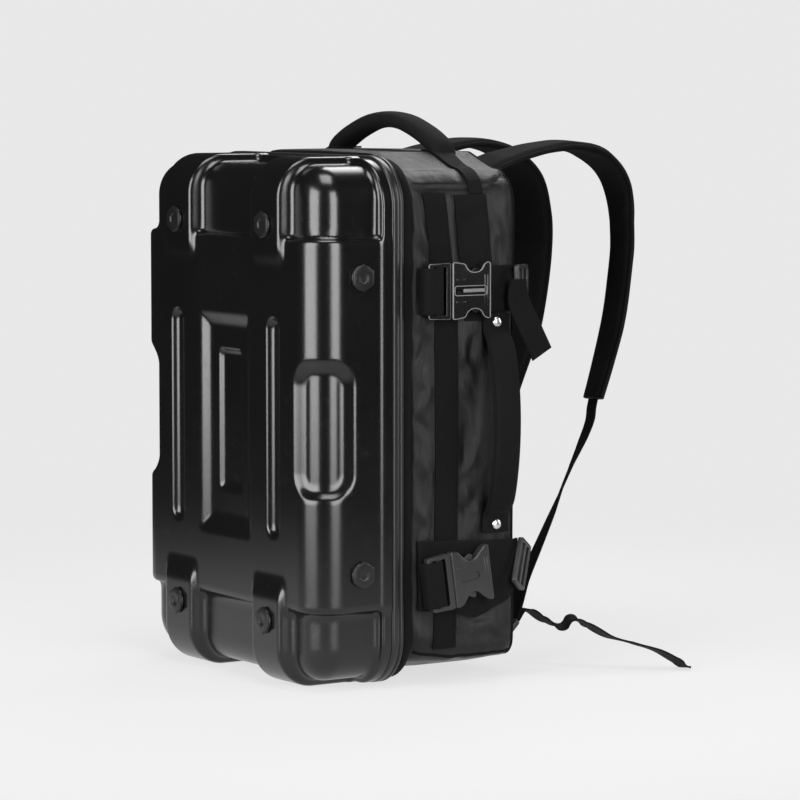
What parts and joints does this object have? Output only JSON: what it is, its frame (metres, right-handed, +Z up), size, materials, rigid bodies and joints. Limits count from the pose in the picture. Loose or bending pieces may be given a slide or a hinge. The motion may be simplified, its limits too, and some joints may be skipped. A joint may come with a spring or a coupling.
{
  "type": "hard shell backpack",
  "caption": "Backpack with a ribbed hard shell front on a rim frame, a soft bag behind it, side release buckles, two carry handles and two padded shoulder straps.",
  "frame": {"origin": "on the floor, under the middle of the bag, on the level underside of the soft bag", "axes": "+Z up; the hard shell faces -Y and the shoulder straps stand out along +Y; +X is the wearer's right"},
  "size_m": [0.4676, 0.4367, 0.5428],
  "materials": {
    "shell": "semi-gloss, fine grain",
    "bolt": "satin",
    "rim": "satin",
    "binding": "woven",
    "ripstop": "coated, slightly shiny",
    "padding": "matte woven",
    "webbing": "ribbed webbing",
    "buckle": "satin",
    "rivet": "polished"
  },
  "bodies": {
    "root": {"bag_body": "ripstop", "edge_binding": "binding", "foot_bolt_high_left": "bolt", "foot_bolt_high_right": "bolt", "foot_bolt_low_left": "bolt", "foot_bolt_low_right": "bolt", "handle_tab_left": "webbing", "handle_tab_right": "webbing", "hard_shell": "shell", "hip_slider_left": "buckle", "hip_slider_right": "buckle", "hip_strap_left": "webbing", "hip_strap_right": "webbing", "hip_wing_left": "padding", "hip_wing_right": "padding", "ladder_lock_left": "buckle", "ladder_lock_right": "buckle", "lock_tab_left": "webbing", "lock_tab_right": "webbing", "lower_buckle_body_left": "buckle", "lower_buckle_body_right": "buckle", "lower_buckle_plug_left": "buckle", "lower_buckle_plug_right": "buckle", "rim_frame": "rim", "shoulder_pad_left": "padding", "shoulder_pad_right": "padding", "shoulder_webbing_left": "webbing", "shoulder_webbing_right": "webbing", "side_bolt_high_left": "bolt", "side_bolt_high_right": "bolt", "side_bolt_low_left": "bolt", "side_bolt_low_right": "bolt", "side_handle": "padding", "side_handle_rivet_high": "rivet", "side_handle_rivet_low": "rivet", "side_panel_left": "padding", "side_panel_right": "padding", "side_webbing_left": "webbing", "side_webbing_right": "webbing", "strap_tail_left": "webbing", "strap_tail_right": "webbing", "top_handle": "padding", "upper_buckle_body_left": "buckle", "upper_buckle_body_right": "buckle", "upper_buckle_plug_left": "buckle", "upper_buckle_plug_right": "buckle", "upper_slider_left": "buckle", "upper_slider_right": "buckle", "upper_strap_left": "webbing", "upper_strap_right": "webbing", "upper_tail_left": "webbing", "upper_tail_right": "webbing"}
  },
  "joints": []
}
